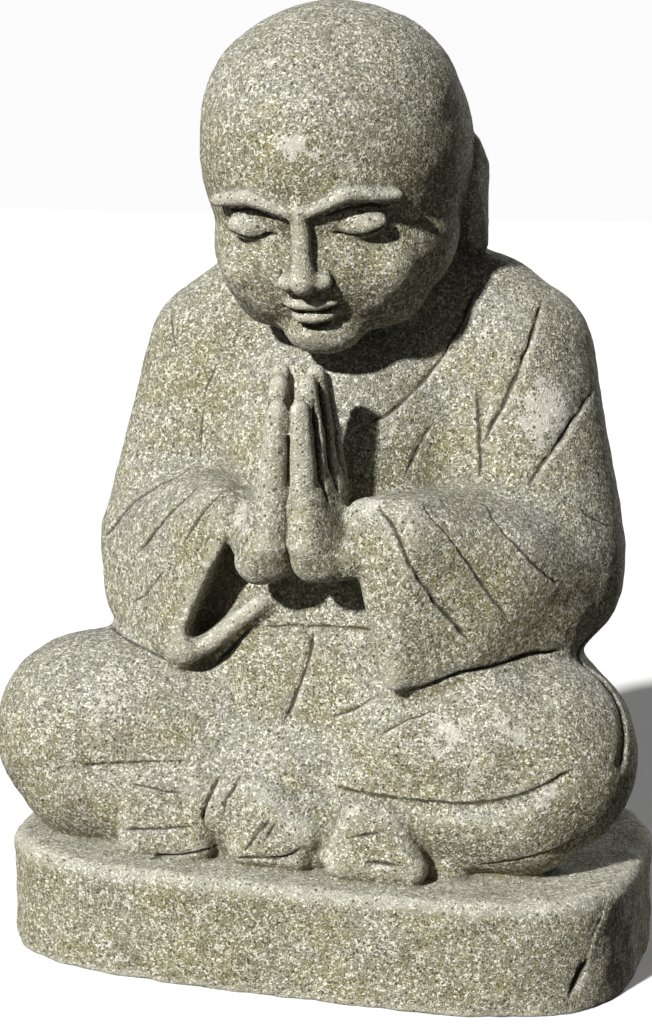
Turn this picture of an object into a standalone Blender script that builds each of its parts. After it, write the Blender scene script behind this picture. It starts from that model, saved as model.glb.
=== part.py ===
"""A monk at prayer, seated cross-legged on a low plinth, carved from one block of stone.

Metres, +Z up. The monk faces -Y, and the origin is the middle of the plinth's underside.
The form is built up from balls joined by their hulls, as a modeller packs clay, and is fused into one skin.
Folds, finger gaps and the lines of the face are then pressed into that skin.
"""

import math

import bmesh
import bpy
import numpy as np
from mathutils import Euler, Matrix, Vector
from mathutils.bvhtree import BVHTree
from mathutils.kdtree import KDTree

# Driving dimensions, in metres
PLINTH_WIDTH = 0.410
PLINTH_DEPTH = 0.268
PLINTH_HEIGHT = 0.071
PLINTH_SHIFT = 0.0045
PLINTH_TOP_EDGE = 0.008
PLINTH_FOOT_EDGE = 0.003
FIGURE_HEIGHT = 0.527

# The figure is drawn in millimetres above the plinth's top, at this height, and scaled to FIGURE_HEIGHT.
DRAWN_HEIGHT = 527.0
MM = FIGURE_HEIGHT / DRAWN_HEIGHT

# The plinth's outline is a superellipse, squarer in front than behind, drawn with this many sides.
FRONT_SQUARENESS = 3.8
BACK_SQUARENESS = 2.6
PLINTH_SIDES = 96
PLINTH_ROUND = 4

# Fineness of the skin, and how much of the plinth starts below the ground, to be cut flat
ROUGH_VOXEL = 0.005
HEAD_VOXEL = 0.0035
FINE_VOXEL = 0.003
TRIANGLES = 9600
FLAT_CUT = 0.001

# Head: its centre, how far it bows and how far it leans to the monk's right, in degrees
HEAD_CENTRE = (3.8, -8.0, 434.0)
HEAD_BOW = 20.0
HEAD_LEAN = 2.5

SIDES = (-1, 1)
PALMS_MEET = 4.0

STONE_COLOUR = (0.235, 0.215, 0.145, 1)
STONE_ROUGHNESS = 0.92

# Lines cut into the stone, each as (points across and up, half width, depth, fall) in drawn millimetres.
# Fall sinks the stone beside a line, on its right as it is drawn, as where one cloth lies over another.
ROBE_FRONT = [
    ([(90, 351), (80, 321), (54, 283), (36, 272)], 3.7, 3.2, 1.6),
    ([(131, 347), (127, 316), (114, 284), (101, 258)], 3.5, 3.2, 0.8),
    ([(168, 300), (155, 270), (131, 235)], 3.7, 3.4, 1.2),
    ([(101, 238), (99, 267), (96, 293)], 3.5, 2.2, 2.4),
    ([(56, 239), (75, 236), (99, 237)], 3.5, 1.4, 0.8),
    ([(71, 271), (64, 255), (57, 238)], 3.5, 2.2, 0.6),
    ([(-116, 334), (-104, 305)], 3.5, 1.8, 0.6),
    ([(-76, 300), (-84, 279), (-84, 240)], 3.5, 1.7, 1.2),
    ([(-151, 184), (-129, 210), (-105, 226), (-86, 235)], 3.5, 2.3, 1.0),
    ([(-113, 184), (-95, 206), (-79, 221), (-67, 232)], 3.5, 2.2, 1.0),
    ([(-72, 198), (-60, 216), (-46, 233)], 3.5, 1.8, 0.8),
    ([(-118, 150), (-104, 160), (-90, 178)], 3.5, 1.4, 0.5),
    ([(111, 150), (93, 174), (80, 196), (68, 222), (56, 232)], 3.5, 3.0, 1.2),
    ([(131, 163), (115, 188), (102, 213), (82, 233)], 3.5, 2.6, 1.0),
    ([(159, 177), (142, 198), (130, 211), (113, 227)], 3.5, 2.2, 0.8),
    ([(165, 217), (181, 205)], 3.5, 2.1, 0),
    ([(-22, 147), (10, 149), (34, 149), (60, 147)], 3.5, 1.8, 0.8),
    ([(9, 145), (4, 118), (-9, 86)], 3.6, 3.0, 0.8),
    ([(24, 94), (45, 106), (55, 113)], 3.6, 2.6, -1.2),
    ([(59, 91), (72, 100), (91, 108)], 3.5, 2.0, -0.8),
    ([(-158, 54), (-129, 58), (-102, 61), (-60, 64)], 3.5, 1.5, 1.6),
    ([(28, 56), (45, 55), (67, 54), (91, 53), (116, 53), (146, 60), (175, 76)], 3.5, 2.0, 2.2),
    ([(122, 12), (157, 22), (186, 30)], 3.5, 2.4, 0.8),
    ([(-146, 128), (-132, 129), (-103, 124), (-84, 119)], 3.5, 1.6, 0.6),
    ([(73, 118), (94, 125), (106, 130), (127, 133), (141, 136), (157, 135)], 4.0, 3.4, 0),
    ([(-58, 118), (-44, 132), (-30, 146)], 3.8, 2.8, 0),
]
FEET_FRONT = [
    ([(-103, 18), (-80, 21), (-58, 25)], 3.5, 2.2, 0),
    ([(-87, 1), (-67, 5), (-45, 10)], 3.5, 2.8, 0),
    ([(-98, 48), (-80, 46), (-66, 45)], 3.5, 1.6, 0),
    ([(-43, 56), (-50, 41), (-52, 33), (-51, 26)], 3.7, 3.2, 0),
    ([(-29, 60), (-33, 50), (-38, 41), (-39, 34)], 3.5, 2.6, 0),
    ([(-7, 36), (-15, 24), (-24, 13)], 3.5, 2.2, 0),
    ([(-3, 33), (-11, 20)], 3.5, 2.2, 0),
    ([(-28, 8), (-6, 10), (6, 13), (14, 19)], 3.5, 2.4, 0),
    ([(43, 30), (67, 36)], 3.5, 2.2, 0),
    ([(55, 16), (80, 16)], 3.5, 2.6, 0),
]
# The crack at the plinth's left end, across from that end and down from the plinth's top
PLINTH_CRACK = [
    ([(-11.5, 2), (-13.5, -12), (-18.5, -28), (-21.5, -40)], 3.5, 1.7, 0.8),
    ([(-20.5, -38), (-22.5, -46), (-29.5, -60)], 4.4, 3.6, 0),
]
ROBE_LEFT = [
    ([(5, 138), (-20, 118), (-45, 92), (-62, 66)], 3.6, 2.6, 1.6),
    ([(66, 300), (60, 240), (48, 190)], 3.5, 2.2, 0.8),
]
ROBE_RIGHT = [
    ([(-5, 132), (22, 112), (44, 84)], 3.6, 2.4, 1.4),
    ([(-66, 310), (-60, 250), (-44, 196)], 3.5, 2.2, 0.8),
]
ROBE_BACK = [
    ([(-70, 352), (-40, 250), (20, 150), (60, 30)], 3.7, 2.8, 1.4),
    ([(-20, 340), (10, 250), (50, 170), (88, 60)], 3.6, 2.6, 1.2),
    ([(96, 300), (104, 230), (112, 160)], 3.6, 2.6, 0.8),
    ([(-100, 300), (-104, 230), (-108, 160)], 3.6, 2.6, 0.8),
    ([(-60, 110), (-10, 86), (60, 78), (120, 84)], 3.6, 2.6, 1.2),
]
MOUTH = ([(-19, -61.5), (-8, -63), (0, -62), (8, -63), (19, -61.5)], 3.2, 2.6, 0)
CHIN_CREASE = ([(-9, -74), (0, -75.5), (9, -74)], 4, 1.4, 0)
EYE = ([(17, -15), (33, -20), (50, -14)], 3.0, 2.4, 0)
LID_CREASE = ([(15, -5), (33, 0), (51, -6)], 3.0, 1.8, 0)
NOSTRIL = ([(15, -36), (18, -43), (14, -49)], 3.0, 1.8, 0)

# Gaps between the fingers on the back of a hand, as (depth, height) at the root and at the tips
FINGER_GAPS = [((-102, 234), (-101, 292)), ((-90, 238), (-91, 304)), ((-78, 240), (-81, 304))]
PALM_SEAM = ([(4, 184), (4, 240), (4, 296)], 3.2, 3.0, 0)

# Ways of looking at the figure: +Y of each runs from the viewer into the stone
FRONT = Matrix.Identity(4)
BACK = Matrix.Rotation(math.pi, 4, "Z")
LEFT_SIDE = Matrix.Rotation(math.pi / 2, 4, "Z")
RIGHT_SIDE = Matrix.Rotation(-math.pi / 2, 4, "Z")

# The hands are seen from close by, past the sleeves
CLOSE_BY = 366
LEFT_HAND = Matrix.Translation((-CLOSE_BY, 0, 0)) @ LEFT_SIDE
RIGHT_HAND = Matrix.Translation((CLOSE_BY, 0, 0)) @ RIGHT_SIDE


def clear_scene():
    for obj in list(bpy.data.objects):
        bpy.data.objects.remove(obj, do_unlink=True)


def mesh_object(name, bm):
    mesh = bpy.data.meshes.new(name)
    bm.to_mesh(mesh)
    bm.free()
    obj = bpy.data.objects.new(name, mesh)
    bpy.context.scene.collection.objects.link(obj)
    return obj


def hull(*balls):
    """A mesh wrapped tightly round balls, each (x, y, z, radius) in drawn millimetres."""
    bm = bmesh.new()
    for x, y, z, radius in balls:
        bmesh.ops.create_icosphere(bm, subdivisions=2, radius=radius, matrix=Matrix.Translation((x, y, z)))
    wrapped = bmesh.ops.convex_hull(bm, input=bm.verts)
    spare = wrapped["geom_interior"] + wrapped["geom_unused"]
    inside = {part for part in spare if isinstance(part, bmesh.types.BMVert)}
    bmesh.ops.delete(bm, geom=list(inside), context="VERTS")
    bmesh.ops.recalc_face_normals(bm, faces=bm.faces)
    return mesh_object("hull", bm)


def chain(*balls):
    """A form that bends: the hulls of each two neighbouring balls."""
    return [hull(a, b) for a, b in zip(balls, balls[1:])]


def egg(centre, radii):
    """An ellipsoid in drawn millimetres."""
    bm = bmesh.new()
    place = Matrix.Translation(centre) @ Matrix.Diagonal((*radii, 1))
    bmesh.ops.create_uvsphere(bm, u_segments=48, v_segments=24, radius=1, matrix=place)
    return mesh_object("egg", bm)


def joined(name, pieces):
    """Several closed meshes as one object, still overlapping."""
    bm = bmesh.new()
    for piece in pieces:
        bm.from_mesh(piece.data)
        bpy.data.objects.remove(piece, do_unlink=True)
    return mesh_object(name, bm)


def with_modifier(obj, kind, **settings):
    """The object with one modifier applied to its mesh."""
    modifier = obj.modifiers.new(kind.title(), kind)
    for key, value in settings.items():
        setattr(modifier, key, value)
    graph = bpy.context.evaluated_depsgraph_get()
    mesh = bpy.data.meshes.new_from_object(obj.evaluated_get(graph))
    obj.modifiers.clear()
    obj.data = mesh
    return obj


def fused(name, pieces, voxel, rounds):
    """Overlapping closed meshes made one skin, and the creases between them softened."""
    obj = with_modifier(joined(name, pieces), "REMESH", mode="VOXEL", voxel_size=voxel)
    return with_modifier(obj, "SMOOTH", factor=0.5, iterations=rounds)


def carved(obj, cutter):
    """The object with the cutter taken away from it."""
    with_modifier(obj, "BOOLEAN", operation="DIFFERENCE", object=cutter)
    bpy.data.objects.remove(cutter, do_unlink=True)
    return obj


def torso():
    """Hips, waist, shoulders, the collar behind the neck, and the belly with the chest over it."""
    hips = [(side * x, y, z, r) for side in SIDES for x, y, z, r in ((100, 58, 30, 50), (88, 62, 95, 45))]
    waist = [(-72, 44, 195, 60), (78, 44, 195, 60), (-66, 40, 95, 56), (66, 40, 95, 56)]
    chest = [(-68, 40, 195, 66), (72, 40, 195, 66)]
    shoulders = [(-87, 46, 299, 53), (104, 44, 303, 55), (0, 60, 325, 55)]
    shoulders += [(-66, 46, 317, 47), (85, 46, 325, 48)]
    collar = [(-58, 50, 325, 50), (62, 50, 328, 52), (2, 34, 372, 46)]
    belly = [(-28, -2, 152, 54), (40, -6, 152, 56), (6, 14, 240, 70)]
    lap = [(-26, -30, 95, 50), (36, -30, 95, 50)]
    masses = [hips, waist, chest + shoulders, collar, belly + lap]
    return [hull(*balls) for balls in masses] + [egg((6, 12, 246), (84, 58, 88))]


def arms():
    """Upper arms, and the forearms' hanging sleeves, hollowed where the wrists come out."""
    right_cuff = [(-52, -70, 214, 21), (-39, -88, 208, 6), (-51, -86, 180, 6), (-76, -77, 127, 9)]
    right_sleeve = hull((-109, 22, 178, 57), *right_cuff, (-60, -64, 138, 10), (-122, -10, 148, 30))
    left_cuff = [(72, -82, 212, 24), (46, -86, 222, 13), (70, -96, 149, 9), (68, -99, 126, 8)]
    left_under = [(108, -74, 140, 12), (52, -60, 172, 9), (140, -12, 148, 30), (120, -38, 186, 36)]
    left_sleeve = hull((129, 22, 172, 57), *left_cuff, *left_under)
    right_rim = [(-26, -118, 216, 3), (-70, -106, 134, 2), (-8, -105, 180, 3)]
    right_mouth = hull(*right_rim, (-42, -52, 202, 6), (-74, -50, 136, 3), (-22, -42, 178, 6))
    left_mouth = hull((36, -80, 200, 12), (48, -80, 152, 5), (30, -56, 176, 8), (56, -56, 190, 8))
    right_lip = chain((-76, -76, 122, 5.5), (-54, -79, 137, 7), (-24, -75, 163, 6))
    return [
        hull((-87, 46, 299, 53), (-109, 28, 180, 57)),
        hull((104, 44, 303, 56), (129, 24, 186, 57)),
        carved(right_sleeve, right_mouth),
        carved(left_sleeve, left_mouth),
        *right_lip,
    ]


def legs():
    """Thighs out to the knees, shins folded in front of them, and the robe stretched over the lap."""
    return [
        hull((-149, -42, 61, 66), (-80, 30, 64, 60), (-60, 0, 55, 55)),
        hull((142, -34, 66, 65), (80, 30, 66, 60), (60, 0, 55, 55)),
        hull((142, 0, 102, 31), (156, 12, 70, 40), (110, 30, 98, 40)),
        hull((-146, -58, 42, 50), (-30, -74, 34, 34)),
        hull((134, -54, 44, 50), (48, -66, 42, 40), (60, -50, 60, 42)),
        hull((-128, -46, 68, 60), (-78, -36, 68, 56), (-20, -34, 64, 44)),
        hull((120, -42, 70, 60), (66, -42, 68, 57), (16, -38, 64, 46)),
        hull((116, -52, 80, 54), (70, -52, 78, 52)),
        hull((-70, -30, 60, 48), (50, -30, 64, 48), (-10, -66, 50, 38)),
        hull((-110, -80, 4, 16), (96, -80, 4, 16), (-100, -40, 20, 34), (90, -40, 20, 34)),
    ]


def feet():
    """A foot under each shin, and between them the wrapped instep."""
    heel = ((-99, 10, 12), (-96, 44, 13), (-84, 62, 12), (-70, 10, 11))
    block = [(x, y, z, r) for x in (-100, -60) for y, z, r in heel]
    instep = [(-28, -92, 49, 13), (-13, -98, 44, 15), (10, -101, 26, 15)]
    sole = [(-26, -100, 13, 13), (6, -100, 12, 13), (-30, -70, 30, 30)]
    toes = [(39, -105, 12, 14), (78, -104, 11, 13), (60, -80, 16, 20)]
    knuckles = [(49, -102, 38, 14), (66, -102, 36, 13), (57, -98, 45, 11)]
    return [
        hull(*block),
        hull(*instep, *sole),
        hull((-20, -93, 12, 13), (38, -93, 13, 13), (12, -90, 38, 15), (30, -84, 34, 16)),
        hull(*toes, *knuckles),
    ]


def hand(side):
    """One of the two hands pressed together, with side -1 on the monk's right."""

    def at(out, y, z, r):
        return (PALMS_MEET + side * out, y, z, r)

    edge = [(13, -100, 196, 13), (12, -107, 208, 12), (10, -105, 236, 11)]
    back = [(15, -76, 248, 12), (16, -76, 206, 14)]
    if side < 0:
        heel = [(22, -96, 194, 16), (14, -84, 196, 15)]
        wrist = [(24, -92, 200, 15), (42, -64, 214, 17)]
    else:
        heel = [(18, -98, 197, 14), (14, -84, 196, 14)]
        wrist = [(20, -95, 197, 14), (52, -80, 200, 15)]
    roots = [(10, -108, 232), (13, -96, 240), (16, -84, 242), (18, -72, 238)]
    tips = [(7, -106, 289), (9, -96, 302), (11, -86, 308), (12, -76, 302)]
    fingers = []
    for root, tip in zip(roots, tips):
        out, y, z = ((a + b) / 2 for a, b in zip(root, tip))
        fingers.append(hull(at(*root, 8.6), at(out + 1, y, z, 7.2), at(*tip, 5.9)))
    thumb = hull(at(14, -66, 222, 9), at(10, -67, 262, 8))
    palm = hull(*(at(*ball) for ball in edge + back + heel))
    return [palm, hull(*(at(*ball) for ball in wrist)), thumb, *fingers]


def head_matrix():
    turn = Euler([math.radians(t) for t in (HEAD_BOW, -HEAD_LEAN, 0)]).to_matrix().to_4x4()
    return Matrix.Translation(HEAD_CENTRE) @ turn


def skull():
    pieces = [
        egg((0, 6, 2), (85, 92, 91)),
        hull((-10, 6, 17, 74), (18, 4, 26, 65)),
        egg((0, -20, -44), (78, 72, 54)),
        hull((-34, -46, -62, 30), (34, -46, -62, 30), (0, -58, -72, 24)),
        egg((0, -72, -84), (26, 18, 16)),
    ]
    cheeks = [hull((side * 42, -62, -46, 22), (side * 30, -66, -60, 18)) for side in SIDES]
    return pieces + cheeks


def features():
    pieces = [
        *chain((0, -85, 0, 6), (0, -92, -26, 6), (0, -98, -40, 8.5)),
        egg((-10, -93, -42), (7, 7, 5.5)),
        egg((10, -93, -42), (7, 7, 5.5)),
        egg((0, -85, -58), (19, 11, 5)),
        egg((0, -84, -67), (15, 10.5, 5.5)),
    ]
    for side in SIDES:
        pieces += chain((side * 7, -87, 0, 4), (side * 30, -84, 9, 5), (side * 56, -68, 1, 4))
        pieces.append(egg((side * 33, -74, -13), (17, 10, 9)))
        ear = [(79, 24, -6, 8), (80, 32, -24, 9), (77, 20, -70, 9), (79, 12, -22, 7), (66, 26, -72, 12)]
        pieces.append(hull(*((side * x, y, z, r) for x, y, z, r in ear)))
    return pieces


def head():
    whole = joined("head", [fused("skull", skull(), HEAD_VOXEL / MM, 14), *features()])
    whole.data.transform(head_matrix())
    return whole


def plinth():
    """A slab in metres, squarer in front than behind, worn round at its upper and lower edges."""
    bm = bmesh.new()
    ring = []
    for i in range(PLINTH_SIDES):
        angle = math.tau * i / PLINTH_SIDES
        c, s = math.cos(angle), math.sin(angle)
        power = 2 / (BACK_SQUARENESS if s > 0 else FRONT_SQUARENESS)
        x = PLINTH_WIDTH / 2 * math.copysign(abs(c) ** power, c)
        y = PLINTH_DEPTH / 2 * math.copysign(abs(s) ** power, s)
        ring.append(bm.verts.new((x + PLINTH_SHIFT, y, -FLAT_CUT)))
    top = bmesh.ops.extrude_face_region(bm, geom=[bm.faces.new(ring)], use_keep_orig=True)
    raised = [g for g in top["geom"] if isinstance(g, bmesh.types.BMVert)]
    bmesh.ops.translate(bm, verts=raised, vec=(0, 0, PLINTH_HEIGHT + FLAT_CUT))
    bmesh.ops.recalc_face_normals(bm, faces=bm.faces)
    for height, edge in ((PLINTH_HEIGHT, PLINTH_TOP_EDGE), (-FLAT_CUT, PLINTH_FOOT_EDGE)):
        rim = [e for e in bm.edges if all(abs(v.co.z - height) < FLAT_CUT / 2 for v in e.verts)]
        bmesh.ops.bevel(bm, geom=rim, offset=edge, segments=PLINTH_ROUND, profile=0.5, affect="EDGES")
    return mesh_object("plinth", bm)


def to_size(obj):
    """From drawn millimetres above the plinth to metres above the ground."""
    obj.data.transform(Matrix.Translation((0, 0, PLINTH_HEIGHT)) @ Matrix.Scale(MM, 4))
    return obj


def to_drawing(obj):
    """The reverse of to_size."""
    obj.data.transform(Matrix.Scale(1 / MM, 4) @ Matrix.Translation((0, 0, -PLINTH_HEIGHT)))
    return obj


def rounded_path(points):
    """The points' line with its corners cut, twice over."""
    for _ in range(2):
        cut = [points[0]]
        for (ax, az), (bx, bz) in zip(points, points[1:]):
            cut.append((0.75 * ax + 0.25 * bx, 0.75 * az + 0.25 * bz))
            cut.append((0.25 * ax + 0.75 * bx, 0.25 * az + 0.75 * bz))
        points = cut + [points[-1]]
    return points


def laid_on(tree, path, place):
    """Spots and normals where the path, sent along place's +Y, meets the skin."""
    far, spacing = -400, 2.0
    ends = [place @ Vector((x, far, z)) for x, z in rounded_path(path)]
    heading = (place.to_3x3() @ Vector((0, 1, 0))).normalized()
    spots, normals = [], []
    for a, b in zip(ends, ends[1:]):
        steps = max(1, math.ceil((b - a).length / spacing))
        for i in range(steps):
            hit, normal, _, _ = tree.ray_cast(a.lerp(b, i / steps), heading)
            if hit is not None:
                spots.append(hit[:])
                normals.append(normal[:])
    return np.array(spots), np.array(normals)


def pressed(obj, marks, place):
    """Grooves pressed into the skin along marks, which are seen as place has it."""
    mesh = obj.data
    count = len(mesh.vertices)
    at = np.empty(count * 3)
    mesh.vertices.foreach_get("co", at)
    at = at.reshape(-1, 3)
    normals = np.empty(count * 3)
    mesh.vertex_normals.foreach_get("vector", normals)
    normals = normals.reshape(-1, 3)
    bm = bmesh.new()
    bm.from_mesh(mesh)
    tree = BVHTree.FromBMesh(bm)
    bm.free()
    moved = at.copy()
    for path, width, depth, fall in marks:
        spots, facing = laid_on(tree, path, place)
        aside = np.cross(np.gradient(spots, axis=0), facing)
        aside /= np.linalg.norm(aside, axis=1, keepdims=True) + 1e-9
        reach = width * (3 if fall else 1)
        near = np.nonzero(np.all((at > spots.min(0) - reach) & (at < spots.max(0) + reach), axis=1))[0]
        kd = KDTree(len(spots))
        for i, spot in enumerate(spots):
            kd.insert(spot, i)
        kd.balance()
        ease = min(len(spots) / 2, 6)
        for v in near:
            _, i, gap = kd.find(at[v])
            if gap > reach or normals[v] @ facing[i] < 0.2:
                continue
            end = min(1.0, (min(i, len(spots) - 1 - i) + 1) / ease)
            sink = depth * max(0.0, 1 - (gap / width) ** 2) ** 1.5
            side = (at[v] - spots[i]) @ aside[i]
            if fall and side > 0:
                sink += fall * (1 - gap / reach) * min(1.0, side / (width * 0.5))
            moved[v] -= normals[v] * sink * end
    mesh.vertices.foreach_set("co", moved.ravel())
    mesh.update()


def face_marks():
    marks = [MOUTH, CHIN_CREASE]
    for side in (-1, 1):
        for path, width, depth, fall in (EYE, LID_CREASE, NOSTRIL):
            marks.append(([(side * x, z) for x, z in path], width, depth, fall))
    return marks


def plinth_marks():
    """The crack's lines, moved to the plinth's left end."""
    end = (PLINTH_WIDTH / 2 + PLINTH_SHIFT) / MM
    return [([(end + x, z) for x, z in path], *cut) for path, *cut in PLINTH_CRACK]


def finger_marks(side):
    return [([(side * y, z) for y, z in gap], 3.0, 2.6, 0) for gap in FINGER_GAPS]


def cut_flat(obj):
    """What lies below the ground cut away, and the cut closed with a flat face."""
    bm = bmesh.new()
    bm.from_mesh(obj.data)
    everything = bm.verts[:] + bm.edges[:] + bm.faces[:]
    ground = {"plane_co": (0, 0, 0), "plane_no": (0, 0, 1)}
    bmesh.ops.bisect_plane(bm, geom=everything, dist=1e-6, clear_inner=True, **ground)
    bmesh.ops.holes_fill(bm, edges=[e for e in bm.edges if e.is_boundary], sides=0)
    bmesh.ops.triangulate(bm, faces=bm.faces)
    bm.to_mesh(obj.data)
    bm.free()


def centre(obj):
    """Moves the middle of the object's box over the origin."""
    middle = sum((Vector(c) for c in obj.bound_box), Vector()) / len(obj.bound_box)
    obj.data.transform(Matrix.Translation((-middle.x, -middle.y, 0)))


def stone():
    material = bpy.data.materials.new("stone")
    material.use_nodes = True
    shader = material.node_tree.nodes["Principled BSDF"]
    shader.inputs["Base Color"].default_value = STONE_COLOUR
    shader.inputs["Roughness"].default_value = STONE_ROUGHNESS
    shader.inputs["Metallic"].default_value = 0.0
    return material


def carve_lines(statue):
    to_drawing(statue)
    pressed(statue, ROBE_FRONT + FEET_FRONT + plinth_marks() + [PALM_SEAM], FRONT)
    pressed(statue, ROBE_BACK, BACK)
    pressed(statue, ROBE_LEFT, LEFT_SIDE)
    pressed(statue, ROBE_RIGHT, RIGHT_SIDE)
    pressed(statue, finger_marks(1), LEFT_HAND)
    pressed(statue, finger_marks(-1), RIGHT_HAND)
    pressed(statue, face_marks(), head_matrix())
    to_size(statue)


def main():
    clear_scene()
    body = fused("body", [to_size(p) for p in torso() + arms() + legs()], ROUGH_VOXEL, 6)
    details = [to_size(p) for p in hand(-1) + hand(1) + feet() + [head()]]
    statue = fused("monk_statue", [body, plinth(), *details], FINE_VOXEL, 3)
    carve_lines(statue)
    faces = sum(len(p.vertices) - 2 for p in statue.data.polygons)
    with_modifier(statue, "DECIMATE", ratio=TRIANGLES / faces)
    cut_flat(statue)
    centre(statue)
    statue.data.materials.append(stone())
    statue.data.shade_smooth()
    collection = bpy.data.collections.new("Monk statue")
    bpy.context.scene.collection.children.link(collection)
    bpy.context.scene.collection.objects.unlink(statue)
    collection.objects.link(statue)


main()
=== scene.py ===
# %% [markdown]
# # A stone monk at prayer
#
# The real thing is one block of grey-green volcanic stone, cut by hand into a child-like monk who sits
# cross-legged on a low plinth with both palms together. A carver starts from big masses, turns them into
# limbs and cloth, then cuts the folds with a narrow chisel, and years outdoors do the rest.
#
# The script works in the same order: masses, fusing, chisel lines, weather, stone. It starts from the
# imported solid, which stays the frame: nothing here may leave its box.

# %% The frame
import math
from functools import partial

import bmesh
import bpy
import numpy as np
from mathutils import Euler, Matrix, Vector
from mathutils.bvhtree import BVHTree
from mathutils.kdtree import KDTree


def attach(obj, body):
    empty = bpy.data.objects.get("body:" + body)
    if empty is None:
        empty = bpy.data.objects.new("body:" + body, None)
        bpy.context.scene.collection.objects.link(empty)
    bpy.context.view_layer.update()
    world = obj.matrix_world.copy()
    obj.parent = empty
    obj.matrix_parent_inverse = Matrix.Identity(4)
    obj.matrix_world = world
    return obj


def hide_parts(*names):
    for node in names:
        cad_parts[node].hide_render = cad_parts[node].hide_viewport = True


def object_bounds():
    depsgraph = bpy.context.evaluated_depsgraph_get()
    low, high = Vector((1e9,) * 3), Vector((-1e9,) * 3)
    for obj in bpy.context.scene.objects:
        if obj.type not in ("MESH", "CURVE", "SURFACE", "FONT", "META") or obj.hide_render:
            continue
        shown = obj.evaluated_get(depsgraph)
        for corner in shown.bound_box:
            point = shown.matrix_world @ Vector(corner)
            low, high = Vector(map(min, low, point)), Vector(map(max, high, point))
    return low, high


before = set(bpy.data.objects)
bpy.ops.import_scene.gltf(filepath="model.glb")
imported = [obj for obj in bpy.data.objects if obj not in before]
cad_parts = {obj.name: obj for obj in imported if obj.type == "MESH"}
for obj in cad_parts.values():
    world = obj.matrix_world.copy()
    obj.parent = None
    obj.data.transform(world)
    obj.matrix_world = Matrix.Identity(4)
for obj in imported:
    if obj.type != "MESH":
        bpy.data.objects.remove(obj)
cad_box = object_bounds()
cad_low, cad_high = (Vector(corner) for corner in cad_box)
print("the solid's box in mm:", [round(v * 1000) for v in cad_high - cad_low])

# %% Sizes
PLINTH_WIDTH = 0.410
PLINTH_DEPTH = 0.268
PLINTH_HEIGHT = 0.071
PLINTH_SHIFT = 0.0045
FRONT_SQUARENESS = 3.8
BACK_SQUARENESS = 2.6
PLINTH_TOP_EDGE = 0.008
PLINTH_FOOT_EDGE = 0.003
PLINTH_SIDES = 160
PLINTH_ROUND = 5
MM = 0.001

# The grid on which masses are fused, in metres, and the rounds of smoothing after it
BODY_VOXEL, BODY_ROUNDS = 0.004, 7
HEAD_VOXEL, HEAD_ROUNDS = 0.003, 18
SKIN_VOXEL, SKIN_ROUNDS = 0.0014, 4
TRIANGLES = 205000
FLAT_CUT = 0.001

HEAD_CENTRE = (3.8, -8.0, 434.0)
HEAD_BOW = 20.0
HEAD_LEAN = 2.5
SIDES = (-1, 1)

# %% [markdown]
# ## Clay: balls and their hulls
#
# A carver thinks in masses: a thigh is a fat cone between hip and knee. Sculpting by hand would need a
# mouse, and metaballs are hard to steer. So each mass is a few balls, given in millimetres above the
# plinth's top, wrapped in their convex hull. Where hulls overlap, a voxel remesh makes them one skin, and a
# little smoothing turns the creases between them into the soft valleys that a chisel leaves.

# %% Helpers for the masses


def mesh_object(name, bm):
    mesh = bpy.data.meshes.new(name)
    bm.to_mesh(mesh)
    bm.free()
    obj = bpy.data.objects.new(name, mesh)
    bpy.context.scene.collection.objects.link(obj)
    return obj


def hull(*balls):
    """A mesh wrapped tightly round balls, each (x, y, z, radius) in millimetres above the plinth."""
    bm = bmesh.new()
    for x, y, z, radius in balls:
        bmesh.ops.create_icosphere(bm, subdivisions=3, radius=radius, matrix=Matrix.Translation((x, y, z)))
    wrapped = bmesh.ops.convex_hull(bm, input=bm.verts)
    spare = wrapped["geom_interior"] + wrapped["geom_unused"]
    inside = {part for part in spare if isinstance(part, bmesh.types.BMVert)}
    bmesh.ops.delete(bm, geom=list(inside), context="VERTS")
    bmesh.ops.recalc_face_normals(bm, faces=bm.faces)
    return mesh_object("hull", bm)


def chain(*balls):
    """A form that bends: the hulls of each two neighbouring balls."""
    return [hull(a, b) for a, b in zip(balls, balls[1:])]


def egg(centre, radii):
    bm = bmesh.new()
    place = Matrix.Translation(centre) @ Matrix.Diagonal((*radii, 1))
    bmesh.ops.create_uvsphere(bm, u_segments=64, v_segments=32, radius=1, matrix=place)
    return mesh_object("egg", bm)


def joined(name, pieces):
    bm = bmesh.new()
    for piece in pieces:
        bm.from_mesh(piece.data)
        bpy.data.objects.remove(piece, do_unlink=True)
    return mesh_object(name, bm)


def baked(obj):
    """The object with its modifiers made part of its mesh."""
    graph = bpy.context.evaluated_depsgraph_get()
    mesh = bpy.data.meshes.new_from_object(obj.evaluated_get(graph))
    obj.modifiers.clear()
    obj.data = mesh
    return obj


def with_modifier(obj, kind, **settings):
    modifier = obj.modifiers.new(kind.title(), kind)
    for key, value in settings.items():
        setattr(modifier, key, value)
    return baked(obj)


def fused(name, pieces, voxel, rounds):
    """Overlapping closed meshes made one skin, and the creases between them softened."""
    obj = with_modifier(joined(name, pieces), "REMESH", mode="VOXEL", voxel_size=voxel)
    return with_modifier(obj, "SMOOTH", factor=0.5, iterations=rounds)


def carved(obj, cutter):
    with_modifier(obj, "BOOLEAN", operation="DIFFERENCE", object=cutter)
    bpy.data.objects.remove(cutter, do_unlink=True)
    return obj


def to_size(obj):
    """From drawn millimetres above the plinth to metres above the ground."""
    obj.data.transform(Matrix.Translation((0, 0, PLINTH_HEIGHT)) @ Matrix.Scale(MM, 4))
    return obj


# %% [markdown]
# ## The robed body
#
# The monk's robe hides the torso, so the body is broad hulls: hips, waist, shoulders, the collar that rises
# behind the neck, and the belly. The forearms' wide sleeves are hulls too, pulled down to a corner, and a
# small hull cut out of each makes the dark mouth that the wrist comes out of.

# %% Body


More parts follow.
